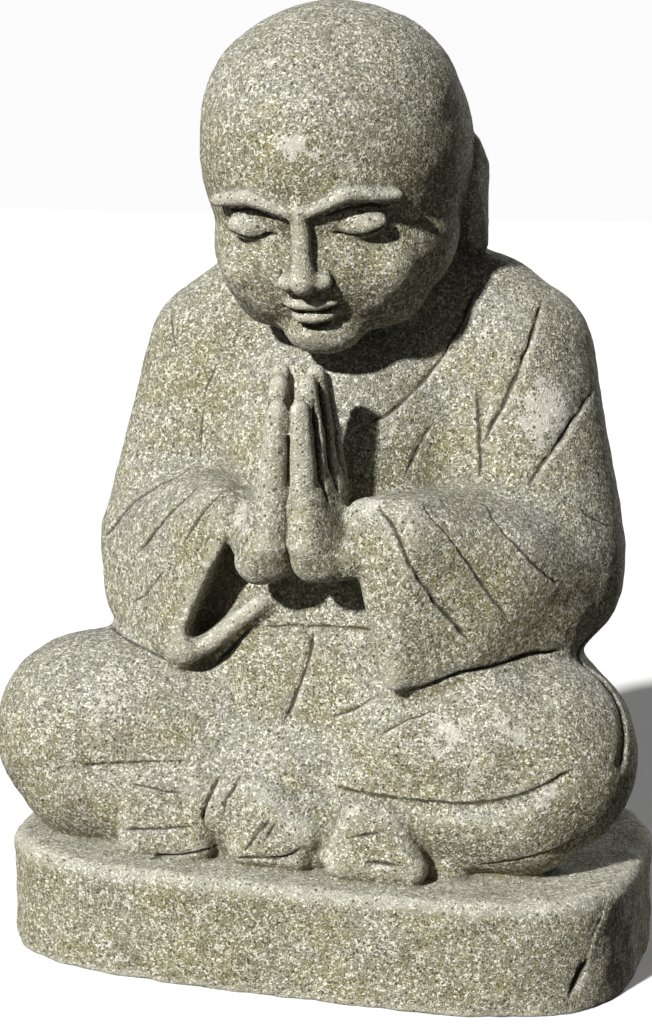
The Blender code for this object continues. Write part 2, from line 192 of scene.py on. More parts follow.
def torso():
    """Hips, waist, shoulders, the collar behind the neck, and the belly with the chest over it."""
    hips = [(side * x, y, z, r) for side in SIDES for x, y, z, r in ((100, 58, 30, 50), (88, 62, 95, 45))]
    waist = [(-72, 44, 195, 60), (78, 44, 195, 60), (-66, 40, 95, 56), (66, 40, 95, 56)]
    chest = [(-68, 40, 195, 66), (72, 40, 195, 66)]
    shoulders = [(-87, 46, 299, 53), (104, 44, 303, 55), (0, 60, 325, 55)]
    shoulders += [(-66, 46, 320, 48), (85, 46, 325, 48)]
    collar = [(-58, 50, 325, 50), (62, 50, 328, 52), (2, 34, 372, 46)]
    belly = [(-28, -2, 152, 54), (40, -6, 152, 56), (6, 14, 240, 70)]
    lap = [(-26, -30, 95, 50), (36, -30, 95, 50)]
    masses = [hips, waist, chest + shoulders, collar, belly + lap]
    return [hull(*balls) for balls in masses] + [egg((6, 12, 246), (84, 58, 88))]


def arms():
    """Upper arms, and the forearms' hanging sleeves, hollowed where the wrists come out."""
    right_cuff = [(-52, -70, 214, 21), (-39, -88, 208, 6), (-51, -86, 180, 6), (-76, -77, 127, 9)]
    right_sleeve = hull((-109, 22, 178, 57), *right_cuff, (-60, -64, 138, 10), (-122, -10, 148, 30))
    left_cuff = [(72, -82, 212, 24), (46, -86, 222, 13), (70, -96, 149, 9), (68, -99, 126, 8)]
    left_under = [(108, -74, 140, 12), (52, -60, 172, 9), (140, -12, 148, 30), (120, -38, 186, 36)]
    left_sleeve = hull((129, 22, 172, 57), *left_cuff, *left_under)
    right_rim = [(-26, -118, 216, 3), (-70, -106, 134, 2), (-8, -105, 180, 3)]
    right_mouth = hull(*right_rim, (-42, -52, 202, 6), (-74, -50, 136, 3), (-22, -42, 178, 6))
    left_mouth = hull((36, -80, 200, 12), (48, -80, 152, 5), (30, -56, 176, 8), (56, -56, 190, 8))
    right_lip = chain((-76, -76, 122, 5.5), (-54, -79, 137, 7), (-24, -75, 163, 6))
    return [
        hull((-87, 46, 299, 53), (-109, 28, 180, 57)),
        hull((104, 44, 303, 56), (129, 24, 186, 57)),
        carved(right_sleeve, right_mouth),
        carved(left_sleeve, left_mouth),
        *right_lip,
    ]


def legs():
    """Thighs out to the knees, shins folded in front of them, and the robe stretched over the lap."""
    return [
        hull((-149, -42, 61, 66), (-80, 30, 64, 60), (-60, 0, 55, 55)),
        hull((142, -34, 66, 65), (80, 30, 66, 60), (60, 0, 55, 55)),
        hull((142, 0, 102, 31), (156, 12, 70, 40), (110, 30, 98, 40)),
        hull((-146, -58, 42, 50), (-30, -74, 34, 34)),
        hull((134, -54, 44, 50), (48, -66, 42, 40), (60, -50, 60, 42)),
        hull((-128, -46, 68, 60), (-78, -36, 68, 56), (-20, -34, 64, 44)),
        hull((120, -42, 70, 60), (66, -42, 68, 57), (16, -38, 64, 46)),
        hull((116, -52, 80, 54), (70, -52, 78, 52)),
        hull((-70, -30, 60, 48), (50, -30, 64, 48), (-10, -66, 50, 38)),
        hull((-110, -80, 4, 16), (96, -80, 4, 16), (-100, -40, 20, 34), (90, -40, 20, 34)),
    ]


def feet():
    """A foot under each shin, and between them the wrapped instep."""
    heel = ((-99, 10, 12), (-96, 44, 13), (-84, 62, 12), (-70, 10, 11))
    block = [(x, y, z, r) for x in (-100, -60) for y, z, r in heel]
    instep = [(-28, -92, 49, 13), (-13, -98, 44, 15), (10, -101, 26, 15)]
    sole = [(-26, -100, 13, 13), (6, -100, 12, 13), (-30, -70, 30, 30)]
    toes = [(39, -105, 12, 14), (78, -104, 11, 13), (60, -80, 16, 20)]
    knuckles = [(49, -102, 38, 14), (66, -102, 36, 13), (57, -98, 45, 11)]
    return [
        hull(*block),
        hull(*instep, *sole),
        hull((-20, -93, 12, 13), (38, -93, 13, 13), (12, -90, 38, 15), (30, -84, 34, 16)),
        hull(*toes, *knuckles),
    ]


body = fused("body", [to_size(p) for p in torso() + arms() + legs()], BODY_VOXEL, BODY_ROUNDS)
print("body masses:", len(body.data.polygons), "faces")

# %% [markdown]
# ## Hands
#
# The palms touch, so each hand is half of a flat wedge: palm, four fingers side by side and the thumb
# behind. Each finger is the hull of a ball at its root and one at its tip, which keeps the hands as blocky
# as the carver left them. The little fingers and the edges of the palms face the viewer.

# %% Hands
PALMS_MEET = 4.0


def hand(side):
    """One of the two hands pressed together, with side -1 on the monk's right."""

    def at(out, y, z, r):
        return (PALMS_MEET + side * out, y, z, r)

    edge = [(13, -100, 196, 13), (12, -107, 208, 12), (10, -105, 236, 11)]
    back = [(15, -76, 248, 12), (16, -76, 206, 14)]
    if side < 0:
        heel = [(22, -96, 194, 16), (14, -84, 196, 15)]
        wrist = [(24, -92, 200, 15), (42, -64, 214, 17)]
    else:
        heel = [(18, -98, 197, 14), (14, -84, 196, 14)]
        wrist = [(20, -95, 197, 14), (52, -80, 200, 15)]
    roots = [(10, -108, 232), (13, -96, 240), (16, -84, 242), (18, -72, 238)]
    tips = [(7, -106, 289), (9, -96, 302), (11, -86, 308), (12, -76, 302)]
    fingers = []
    for root, tip in zip(roots, tips):
        out, y, z = ((a + b) / 2 for a, b in zip(root, tip))
        fingers.append(hull(at(*root, 8.6), at(out + 1, y, z, 7.2), at(*tip, 5.9)))
    thumb = hull(at(14, -66, 222, 9), at(10, -67, 262, 8))
    palm = hull(*(at(*ball) for ball in edge + back + heel))
    return [palm, hull(*(at(*ball) for ball in wrist)), thumb, *fingers]


# %% [markdown]
# ## Head
#
# The skull is a ball over a fuller lower ball, bowed forward and leaning a little. The face is a plain calm
# one, set out by the rules that drawing books give: the eyes a little under half the head's height, brow,
# nose and chin a third of a face apart, and a face five eyes wide. The lids are lowered and the mouth
# closed.

# %% Head


def head_matrix():
    turn = Euler([math.radians(t) for t in (HEAD_BOW, -HEAD_LEAN, 0)]).to_matrix().to_4x4()
    return Matrix.Translation(HEAD_CENTRE) @ turn


def skull():
    pieces = [
        egg((0, 6, 2), (85, 92, 91)),
        hull((-10, 6, 17, 74), (18, 4, 26, 65)),
        egg((0, -20, -44), (78, 72, 54)),
        hull((-34, -46, -62, 30), (34, -46, -62, 30), (0, -58, -72, 24)),
        egg((0, -72, -84), (26, 18, 16)),
    ]
    cheeks = [hull((side * 42, -62, -46, 22), (side * 30, -66, -60, 18)) for side in SIDES]
    return pieces + cheeks


def features():
    pieces = [
        *chain((0, -85, 0, 6), (0, -92, -26, 6), (0, -98, -40, 8.5)),
        egg((-10, -93, -42), (7, 7, 5.5)),
        egg((10, -93, -42), (7, 7, 5.5)),
        egg((0, -85, -58), (19, 11, 5)),
        egg((0, -84, -67), (15, 10.5, 5.5)),
    ]
    for side in SIDES:
        pieces += chain((side * 7, -87, 0, 4), (side * 30, -84, 9, 5), (side * 56, -68, 1, 4))
        pieces.append(egg((side * 33, -74, -13), (17, 10, 9)))
        ear = [(79, 24, -6, 8), (80, 32, -24, 9), (77, 20, -70, 9), (79, 12, -22, 7), (66, 26, -72, 12)]
        pieces.append(hull(*((side * x, y, z, r) for x, y, z, r in ear)))
    return pieces


def head():
    smooth_skull = fused("skull", skull(), HEAD_VOXEL / MM, HEAD_ROUNDS)
    whole = joined("head", [smooth_skull, *features()])
    whole.data.transform(head_matrix())
    return whole


# %% [markdown]
# ## Plinth
#
# The plinth is a slab between an oval and a rectangle. A superellipse gives that outline from one number,
# and a bevel wears its edges round. It starts a little under the ground, so that the stone can be cut flat
# there.

# %% Plinth


def plinth():
    """A slab in metres, squarer in front than behind, worn round at its upper and lower edges."""
    bm = bmesh.new()
    ring = []
    for i in range(PLINTH_SIDES):
        angle = math.tau * i / PLINTH_SIDES
        c, s = math.cos(angle), math.sin(angle)
        power = 2 / (BACK_SQUARENESS if s > 0 else FRONT_SQUARENESS)
        x = PLINTH_WIDTH / 2 * math.copysign(abs(c) ** power, c)
        y = PLINTH_DEPTH / 2 * math.copysign(abs(s) ** power, s)
        ring.append(bm.verts.new((x + PLINTH_SHIFT, y, -FLAT_CUT)))
    top = bmesh.ops.extrude_face_region(bm, geom=[bm.faces.new(ring)], use_keep_orig=True)
    raised = [g for g in top["geom"] if isinstance(g, bmesh.types.BMVert)]
    bmesh.ops.translate(bm, verts=raised, vec=(0, 0, PLINTH_HEIGHT + FLAT_CUT))
    bmesh.ops.recalc_face_normals(bm, faces=bm.faces)
    for height, edge in ((PLINTH_HEIGHT, PLINTH_TOP_EDGE), (-FLAT_CUT, PLINTH_FOOT_EDGE)):
        rim = [e for e in bm.edges if all(abs(v.co.z - height) < FLAT_CUT / 2 for v in e.verts)]
        bmesh.ops.bevel(bm, geom=rim, offset=edge, segments=PLINTH_ROUND, profile=0.5, affect="EDGES")
    return mesh_object("plinth", bm)


details = [to_size(p) for p in hand(-1) + hand(1) + feet() + [head()]]
statue = fused("carved_stone", [body, plinth(), *details], SKIN_VOXEL, SKIN_ROUNDS)
print("one skin:", len(statue.data.polygons), "faces")

# %% [markdown]
# ## Chisel lines
#
# Folds, hems, finger gaps and eyelids are all cut with the same narrow chisel. Each is a short path, drawn
# as the carver saw it from one side, then laid on the skin by casting rays. Geometry Nodes do the cutting:
# for every point of the skin they look up the nearest point of a path and press the skin in, deepest on the
# line.

# %% Paths for the chisel
# Each line is (points across and up, half width, depth, fall) in drawn millimetres. Fall sinks the stone
# beside a line, on its right as it is drawn, as where one cloth lies over another.
ROBE_FRONT = [
    ([(90, 351), (80, 321), (54, 283), (36, 272)], 1.9, 2.4, 1.6),
    ([(131, 347), (127, 316), (114, 284), (101, 258)], 1.7, 2.4, 0.8),
    ([(168, 300), (155, 270), (131, 235)], 1.9, 2.6, 1.2),
    ([(101, 238), (99, 267), (96, 293)], 1.5, 1.4, 2.4),
    ([(71, 271), (64, 255), (57, 238)], 1.5, 1.4, 0.6),
    ([(-116, 334), (-104, 305)], 1.5, 1.0, 0.6),
    ([(-76, 300), (-84, 279), (-84, 240)], 1.6, 0.9, 1.2),
    ([(-151, 184), (-129, 210), (-105, 226), (-86, 235)], 1.5, 1.5, 1.0),
    ([(-113, 184), (-95, 206), (-79, 221), (-67, 232)], 1.5, 1.4, 1.0),
    ([(-72, 198), (-60, 216), (-46, 233)], 1.5, 1.0, 0.8),
    ([(-118, 150), (-104, 160), (-90, 178)], 1.4, 0.6, 0.5),
    ([(111, 150), (93, 174), (80, 196), (68, 222), (56, 232)], 1.7, 2.2, 1.2),
    ([(131, 163), (115, 188), (102, 213), (82, 233)], 1.6, 1.8, 1.0),
    ([(159, 177), (142, 198), (130, 211), (113, 227)], 1.5, 1.4, 0.8),
    ([(165, 217), (181, 205)], 1.5, 1.3, 0),
    ([(-22, 147), (10, 149), (34, 149), (60, 147)], 1.4, 1.0, 0.8),
    ([(9, 145), (4, 118), (-9, 86)], 1.8, 2.2, 0.8),
    ([(24, 94), (45, 106), (55, 113)], 1.8, 1.8, -1.2),
    ([(59, 91), (72, 100), (91, 108)], 1.5, 1.2, -0.8),
    ([(-135, 57), (-102, 61), (-60, 64)], 1.2, 0.6, 1.6),
    ([(28, 56), (45, 55), (67, 54), (91, 53), (116, 53), (146, 60), (175, 76)], 1.6, 1.2, 2.2),
    ([(122, 12), (157, 22), (186, 30)], 1.6, 1.6, 0.8),
    ([(-146, 128), (-132, 129), (-103, 124), (-84, 119)], 1.5, 0.8, 0.6),
    ([(73, 118), (94, 125), (106, 130), (127, 133), (141, 136), (157, 135)], 2.2, 2.6, 0),
    ([(-58, 118), (-44, 132), (-30, 146)], 2.0, 2.0, 0),
]
FEET_FRONT = [
    ([(-103, 18), (-80, 21), (-58, 25)], 1.5, 1.4, 0),
    ([(-87, 1), (-67, 5), (-45, 10)], 1.6, 2.0, 0),
    ([(-98, 48), (-80, 46), (-66, 45)], 1.4, 0.8, 0),
    ([(-43, 56), (-50, 41), (-52, 33), (-51, 26)], 1.9, 2.4, 0),
    ([(-29, 60), (-33, 50), (-38, 41), (-39, 34)], 1.6, 1.8, 0),
    ([(-7, 36), (-15, 24), (-24, 13)], 1.6, 1.4, 0),
    ([(-3, 33), (-11, 20)], 1.5, 1.4, 0),
    ([(-28, 8), (-6, 10), (6, 13), (14, 19)], 1.6, 1.6, 0),
    ([(43, 30), (67, 36)], 1.5, 1.4, 0),
    ([(55, 16), (80, 16)], 1.7, 1.8, 0),
]
# The crack at the plinth's left end, across from that end and down from the plinth's top
PLINTH_CRACK = [
    ([(-11.5, 2), (-13.5, -12), (-18.5, -28), (-21.5, -40)], 1.3, 0.9, 0.8),
    ([(-20.5, -38), (-22.5, -46), (-29.5, -60)], 2.6, 2.8, 0),
]
ROBE_LEFT = [
    ([(5, 138), (-20, 118), (-45, 92), (-62, 66)], 1.8, 1.8, 1.6),
    ([(66, 300), (60, 240), (48, 190)], 1.6, 1.4, 0.8),
]
ROBE_RIGHT = [
    ([(-5, 132), (22, 112), (44, 84)], 1.8, 1.6, 1.4),
    ([(-66, 310), (-60, 250), (-44, 196)], 1.6, 1.4, 0.8),
]
ROBE_BACK = [
    ([(-70, 352), (-40, 250), (20, 150), (60, 30)], 1.9, 2.0, 1.4),
    ([(-20, 340), (10, 250), (50, 170), (88, 60)], 1.8, 1.8, 1.2),
    ([(96, 300), (104, 230), (112, 160)], 1.8, 1.8, 0.8),
    ([(-100, 300), (-104, 230), (-108, 160)], 1.8, 1.8, 0.8),
    ([(-60, 110), (-10, 86), (60, 78), (120, 84)], 1.8, 1.8, 1.2),
]
MOUTH = ([(-19, -61.5), (-8, -63), (0, -62), (8, -63), (19, -61.5)], 2.0, 2.0, 0)
CHIN_CREASE = ([(-9, -74), (0, -75.5), (9, -74)], 3.0, 1.0, 0)
EYE = ([(17, -15), (33, -20), (50, -14)], 1.8, 1.8, 0)
LID_CREASE = ([(15, -5), (33, 0), (51, -6)], 1.8, 1.2, 0)
NOSTRIL = ([(15, -36), (18, -43), (14, -49)], 2.0, 1.4, 0)
FINGER_GAPS = [((-102, 234), (-101, 292)), ((-90, 238), (-91, 304)), ((-78, 240), (-81, 304))]
PALM_SEAM = ([(4, 180), (4, 240), (4, 300)], 1.2, 0.8, 0)

FRONT = Matrix.Identity(4)
BACK = Matrix.Rotation(math.pi, 4, "Z")
LEFT_SIDE = Matrix.Rotation(math.pi / 2, 4, "Z")
RIGHT_SIDE = Matrix.Rotation(-math.pi / 2, 4, "Z")


def face_marks():
    marks = [MOUTH, CHIN_CREASE]
    for side in SIDES:
        for path, width, depth, fall in (EYE, LID_CREASE, NOSTRIL):
            marks.append(([(side * x, z) for x, z in path], width, depth, fall))
    return marks


def plinth_marks():
    """The crack's lines, moved to the plinth's left end."""
    end = (PLINTH_WIDTH / 2 + PLINTH_SHIFT) / MM
    return [([(end + x, z) for x, z in path], *cut) for path, *cut in PLINTH_CRACK]


def finger_marks(side):
    return [([(side * y, z) for y, z in gap], 2.2, 4.0, 0) for gap in FINGER_GAPS]


# %% Laying the paths on the skin
CORNER_CUTS = 3
FAR_OUT = -400
PATH_SPACING = 1.0


def rounded_path(points):
    """The points' line with its corners cut a few times over."""
    for _ in range(CORNER_CUTS):
        cut = [points[0]]
        for (ax, az), (bx, bz) in zip(points, points[1:]):
            cut.append((0.75 * ax + 0.25 * bx, 0.75 * az + 0.25 * bz))
            cut.append((0.25 * ax + 0.75 * bx, 0.25 * az + 0.75 * bz))
        points = cut + [points[-1]]
    return points


def laid_on(tree, path, place):
    """Spots and normals, in metres, where the path sent along place's +Y meets the skin."""
    lift = Matrix.Translation((0, 0, PLINTH_HEIGHT)) @ Matrix.Scale(MM, 4) @ place
    ends = [Vector((x, FAR_OUT, z)) for x, z in rounded_path(path)]
    heading = (place.to_3x3() @ Vector((0, 1, 0))).normalized()
    spots, normals = [], []
    for a, b in zip(ends, ends[1:]):
        steps = max(1, math.ceil((b - a).length / PATH_SPACING))
        for i in range(steps):
            hit, normal, _, _ = tree.ray_cast(lift @ a.lerp(b, i / steps), heading)
            if hit is not None:
                spots.append(hit[:])
                normals.append(normal[:])
    return np.array(spots), np.array(normals)


# A hand holds steady for a few millimetres, then wanders, widens and deepens the cut a little
HAND_SEED = 11
STEADY_FOR = 0.007
WANDER = 0.0006
WIDENS, DEEPENS = 0.3, 0.35
RUN_IN = 10


def chisel_paths(skin, seen):
    """One mesh of points for all the paths, each point knowing how wide and deep the chisel cuts there."""
    bm = bmesh.new()
    bm.from_mesh(skin.data)
    tree = BVHTree.FromBMesh(bm)
    bm.free()
    hand_shakes = np.random.default_rng(HAND_SEED)
    rows = {"spot": [], "facing": [], "aside": [], "reach": [], "depth": [], "fall": []}
    for marks, place in seen:
        for path, width, depth, fall in marks:
            spots, facing = laid_on(tree, path, place)
            count = len(spots)
            aside = np.cross(np.gradient(spots, axis=0), facing)
            aside /= np.linalg.norm(aside, axis=1, keepdims=True) + 1e-12
            along = np.concatenate([[0], np.cumsum(np.linalg.norm(np.diff(spots, axis=0), axis=1))])
            knots = np.arange(0, along[-1] + 2 * STEADY_FOR, STEADY_FOR)
            shakes = [hand_shakes.uniform(-1, 1, len(knots)) for _ in range(3)]
            sway, wide, deep = (np.interp(along, knots, shake) for shake in shakes)
            spots = spots + aside * (WANDER * sway)[:, None]
            runs_in = min(count / 2, RUN_IN)
            end = np.minimum(1, (np.minimum(np.arange(count), count - 1 - np.arange(count)) + 1) / runs_in)
            rows["spot"].append(spots)
            rows["facing"].append(facing)
            rows["aside"].append(aside)
            rows["reach"].append(width * MM * (0.5 + 0.5 * end) * (1 + WIDENS * wide))
            rows["depth"].append(depth * MM * end * (1 + DEEPENS * deep))
            rows["fall"].append(fall * MM * end)
    rows = {key: np.concatenate(value) for key, value in rows.items()}
    mesh = bpy.data.meshes.new("chisel_paths")
    mesh.from_pydata(rows.pop("spot").tolist(), [], [])
    for key, value in rows.items():
        vector = value.ndim == 2
        kind = mesh.attributes.new(key, "FLOAT_VECTOR" if vector else "FLOAT", "POINT")
        kind.data.foreach_set("vector" if vector else "value", value.ravel())
    obj = bpy.data.objects.new("chisel_paths", mesh)
    bpy.context.scene.collection.objects.link(obj)
    return obj


# The arms hide the finger gaps from both sides, so the rays for them start this many millimetres nearer
CLOSE_BY = 366
LEFT_HAND = Matrix.Translation((-CLOSE_BY, 0, 0)) @ LEFT_SIDE
RIGHT_HAND = Matrix.Translation((CLOSE_BY, 0, 0)) @ RIGHT_SIDE
seen_from = [
    (ROBE_FRONT + FEET_FRONT + plinth_marks() + [PALM_SEAM], FRONT),
    (ROBE_BACK, BACK),
    (ROBE_LEFT, LEFT_SIDE),
    (ROBE_RIGHT, RIGHT_SIDE),
    (finger_marks(1), LEFT_HAND),
    (finger_marks(-1), RIGHT_HAND),
    (face_marks(), head_matrix()),
]
paths = chisel_paths(statue, seen_from)
lines = sum(len(marks) for marks, _ in seen_from)
print("chisel paths:", lines, "with", len(paths.data.vertices), "points in all")

# %% [markdown]
# ## A helper for nodes
#
# The chisel, the weather and the stone itself are all node trees. One small function adds a node, sets it
# up, wires its inputs and hands back the output that the next node needs, so a tree reads like a sum.

# %% Nodes
FLOAT, OBJECT, MATERIAL = "NodeSocketFloat", "NodeSocketObject", "NodeSocketMaterial"


def add(tree, kind, inputs=(), out=0, **settings):
    """A new node's output. Inputs are values or sockets, in a list by order or in a dict by name."""
    made = tree.nodes.new(kind)
    for key, value in settings.items():
        setattr(made, key, value)
    for key, value in inputs.items() if isinstance(inputs, dict) else enumerate(inputs):
        if isinstance(value, bpy.types.NodeSocket):
            tree.links.new(value, made.inputs[key])
        else:
            made.inputs[key].default_value = value
    return made.outputs[out] if made.outputs else made


def shape_tree(name, **sizes):
    """A Geometry Nodes tree with geometry in and out and its sizes as named inputs."""
    tree = bpy.data.node_groups.new(name, "GeometryNodeTree")
    tree.interface.new_socket("Geometry", in_out="INPUT", socket_type="NodeSocketGeometry")
    tree.interface.new_socket("Geometry", in_out="OUTPUT", socket_type="NodeSocketGeometry")
    for label, kind in sizes.items():
        tree.interface.new_socket(label, in_out="INPUT", socket_type=kind)
    entry = tree.nodes.new("NodeGroupInput")
    return tree, {socket.name: socket for socket in entry.outputs if socket.name}


def finished(tree, geometry, material):
    """The tree's end, with every instance made real and the stone put on."""
    real = add(tree, "GeometryNodeRealizeInstances", [geometry])
    coloured = add(tree, "GeometryNodeSetMaterial", {"Geometry": real, "Material": material})
    add(tree, "NodeGroupOutput", [coloured])
    return tree


def shaped_by(obj, tree, **values):
    """The object with the tree made part of its mesh. Each input is set by its socket's identifier."""
    modifier = obj.modifiers.new(tree.name, "NODES")
    modifier.node_group = tree
    for item in tree.interface.items_tree:
        if item.in_out == "INPUT" and item.name in values:
            modifier[item.identifier] = values[item.name]
    return baked(obj)


STONE = bpy.data.materials.new("volcanic_stone")

# %% [markdown]
# ## Cutting the lines
#
# The skin is made twice as fine beside the paths first, because a two-millimetre groove needs points to
# bend at. A smooth step from the groove's edge to its middle is the cut's section: soft shoulders, dark
# middle. Each point keeps how far into a cut it lies, so that the stone's colours can paint shade into the
# cuts.

# %% A finer skin beside the paths
BESIDE = 0.0035


def refined(obj, guide, reach):
    near = KDTree(len(guide.data.vertices))
    for vertex in guide.data.vertices:
        near.insert(vertex.co, vertex.index)
    near.balance()
    bm = bmesh.new()
    bm.from_mesh(obj.data)
    close = {v for v in bm.verts if near.find(v.co)[2] < reach}
    edges = [e for e in bm.edges if e.verts[0] in close and e.verts[1] in close]
    bmesh.ops.subdivide_edges(bm, edges=edges, cuts=1, use_grid_fill=True)
    bm.to_mesh(obj.data)
    bm.free()
    return len(edges)


print("edges halved beside the paths:", refined(statue, paths, BESIDE))

# %% The chisel as a node tree
FALL_REACH = 0.012
SAME_SIDE = 0.15


def chisel_tree():
    tree, given = shape_tree("chisel lines", Paths=OBJECT, Depth=FLOAT, Width=FLOAT, Stone=MATERIAL)
    node = partial(add, tree)
    laid = node("GeometryNodeObjectInfo", {"Object": given["Paths"]}, "Geometry", transform_space="RELATIVE")
    here = node("GeometryNodeInputPosition")
    normal = node("GeometryNodeInputNormal")
    nearest = node("GeometryNodeSampleNearest", {"Geometry": laid, "Sample Position": here})

    def on_path(value, kind):
        sampled = {"Geometry": laid, "Value": value, "Index": nearest}
        return node("GeometryNodeSampleIndex", sampled, data_type=kind)

    kept = {"spot": on_path(here, "FLOAT_VECTOR")}
    kinds = dict.fromkeys(("reach", "depth", "fall"), "FLOAT")
    kinds |= dict.fromkeys(("aside", "facing"), "FLOAT_VECTOR")
    for name, kind in kinds.items():
        kept[name] = on_path(node("GeometryNodeInputNamedAttribute", {"Name": name}, data_type=kind), kind)

    away = node("ShaderNodeVectorMath", [here, kept["spot"]], operation="SUBTRACT")
    gap = node("ShaderNodeVectorMath", [away], "Value", operation="LENGTH")
    beside = node("ShaderNodeVectorMath", [away, kept["aside"]], "Value", operation="DOT_PRODUCT")
    turned = node("ShaderNodeVectorMath", [normal, kept["facing"]], "Value", operation="DOT_PRODUCT")
    seen = node("ShaderNodeMath", [turned, SAME_SIDE], operation="GREATER_THAN")
    reach = node("ShaderNodeMath", [kept["reach"], given["Width"]], operation="MULTIPLY")

    bowl = node("ShaderNodeMapRange", [gap, reach, 0.0], interpolation_type="SMOOTHSTEP")
    bowl = node("ShaderNodeMath", [bowl, seen], operation="MULTIPLY")
    groove = node("ShaderNodeMath", [bowl, kept["depth"]], operation="MULTIPLY")
    lower = node("ShaderNodeMapRange", [beside, 0.0, reach], interpolation_type="SMOOTHSTEP")
    fading = node("ShaderNodeMapRange", [gap, FALL_REACH, 0.0], interpolation_type="SMOOTHSTEP")
    step = node("ShaderNodeMath", [lower, fading], operation="MULTIPLY")
    step = node("ShaderNodeMath", [step, kept["fall"]], operation="MULTIPLY")
    step = node("ShaderNodeMath", [step, seen], operation="MULTIPLY")
    sink = node("ShaderNodeMath", [groove, step], operation="ADD")
    sink = node("ShaderNodeMath", [sink, given["Depth"]], operation="MULTIPLY")
    inwards = node("ShaderNodeVectorMath", [normal, (-1.0, -1.0, -1.0)], operation="MULTIPLY")
    offset = node("ShaderNodeVectorMath", {"Vector": inwards, "Scale": sink}, operation="SCALE")

    marked = {"Geometry": given["Geometry"], "Name": "cut", "Value": bowl}
    marked = node("GeometryNodeStoreNamedAttribute", marked, data_type="FLOAT")
    moved = node("GeometryNodeSetPosition", {"Geometry": marked, "Offset": offset})
    return finished(tree, moved, given["Stone"])


shaped_by(statue, chisel_tree(), Paths=paths, Depth=1.25, Width=1.15, Stone=STONE)
bpy.data.objects.remove(paths, do_unlink=True)
cut = np.empty(len(statue.data.vertices), np.float32)
statue.data.attributes["cut"].data.foreach_get("value", cut)
print("skin points in the cuts:", int((cut > 0.1).sum()))

# %% [markdown]
# ## Ridges and hollows
#
# Rain and hands wear the ridges pale, and the hollows are painted darker, as painted shade. A smoothed copy
# of
# the mesh tells the two apart: where the skin stands proud of its smoothed self there is a ridge, and where
# it lies below, a hollow. The difference is kept on each point, from minus one to one.

# %% Where the skin stands proud
SMOOTHING = 60
FULL_RELIEF = 0.0012


def numbers(layer, name, width=1):
    """All of one property of a mesh's elements as an array."""
    values = np.empty(len(layer) * width, np.float32)
    layer.foreach_get(name, values)
    return values.reshape(-1, width) if width > 1 else values


copy = bpy.data.objects.new("smoothed", statue.data.copy())
bpy.context.scene.collection.objects.link(copy)
with_modifier(copy, "SMOOTH", factor=0.6, iterations=SMOOTHING)
proud = numbers(statue.data.vertices, "co", 3) - numbers(copy.data.vertices, "co", 3)
proud = (proud * numbers(statue.data.vertex_normals, "vector", 3)).sum(axis=1) / FULL_RELIEF
statue.data.attributes.new("relief", "FLOAT", "POINT").data.foreach_set("value", np.clip(proud, -1, 1))
bpy.data.objects.remove(copy, do_unlink=True)
print("points on ridges and in hollows:", int((proud > 0.5).sum()), int((proud < -0.5).sum()))

# %% [markdown]
# ## Weather
#
# Hand-cut stone is never flat. Noise at three sizes gives the slow swell that the chisel left, shallow
# dents, and a crumbly skin, and a sparse scatter of cells gives pits where crystals dropped out. The plinth
# was hewn more roughly, so it has a broad swell of its own. Finer grain than this is left to the stone's
# bump, as it would take millions of faces.

# %% Weathering as a node tree
# How many millimetres each kind of wear moves the skin, and the noises' seed
WEAR = {"Swell": 2.2, "Dents": 1.3, "Crumbs": 0.9, "Pits": 0.9, "Slab": 7.0, "Seed": 3.0}

# Each noise as (kind of wear, size in mm, detail), and the size of the plinth's own swell
WEAR_NOISES = [("Swell", 45, 1.0), ("Dents", 14, 1.0), ("Crumbs", 5, 2.0)]
SLAB_SIZE = 38

# Pits as the cell in mm, the share of cells that hold one, and its reach in cells
PIT_CELL, PIT_SHARE, PIT_REACH = 7, 0.3, 0.3


